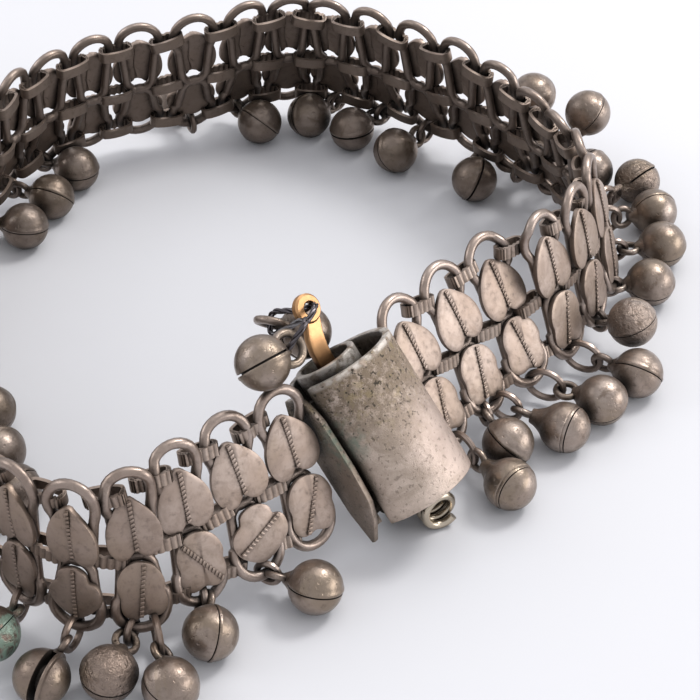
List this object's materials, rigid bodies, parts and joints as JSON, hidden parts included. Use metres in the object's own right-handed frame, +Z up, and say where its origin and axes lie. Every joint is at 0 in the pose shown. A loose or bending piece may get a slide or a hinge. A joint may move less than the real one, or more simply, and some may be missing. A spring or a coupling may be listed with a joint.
{
  "type": "payal anklet",
  "caption": "Antique silver-tone leaf-link anklet standing in a loop on its bells, closed by a barrel clasp whose gold-coloured pin draws out along the barrel.",
  "frame": {"origin": "on the table, under the middle of the whole loop and its bells", "axes": "+Z up from the table, +Y away from the viewer across the loop's longest extent, +X to the viewer's right; the clasp is on the near side"},
  "size_m": [0.091, 0.1006, 0.0247],
  "materials": {
    "silver": "antique silver-tone metal, tarnished brown-grey in the hollows, satin on the raised parts",
    "barrel_silver": "matte frosted silver-tone metal with yellow-green stains",
    "gold": "bright satin gold-coloured metal",
    "black_wire": "blackened shiny wire"
  },
  "bodies": {
    "anklet": {"band_left": "silver", "band_right": "silver", "bell_01": "silver", "bell_02": "silver", "bell_03": "silver", "bell_04": "silver", "bell_05": "silver", "bell_06": "silver", "bell_07": "silver", "bell_08": "silver", "bell_09": "silver", "bell_10": "silver", "bell_11": "silver", "bell_12": "silver", "bell_13": "silver", "bell_14": "silver", "bell_15": "silver", "bell_16": "silver", "bell_17": "silver", "bell_18": "silver", "bell_19": "silver", "bell_20": "silver", "bell_21": "silver", "bell_22": "silver", "bell_23": "silver", "bell_24": "silver", "bell_25": "silver", "bell_26": "silver", "bell_27": "silver", "bell_28": "silver", "bell_29": "silver", "bell_30": "silver", "bell_31": "silver", "bell_32": "silver", "bell_33": "silver", "bell_34": "silver", "bell_35": "silver", "bell_36": "silver", "bell_37": "silver", "bell_38": "silver", "bell_39": "silver", "barrel_sleeve": "barrel_silver", "inner_tube": "barrel_silver", "end_plate": "barrel_silver", "wire_coil": "black_wire"},
    "pin": {"gold_pin": "gold", "tie_wire": "black_wire", "tie_bell_front": "silver", "tie_bell_back": "silver"}
  },
  "joints": [
    {"name": "pin_slide", "type": "slide", "parent": "anklet", "child": "pin", "axis": [-0.518, 0.3645, 0.7738], "range_m": [0, 0.012]}
  ]
}
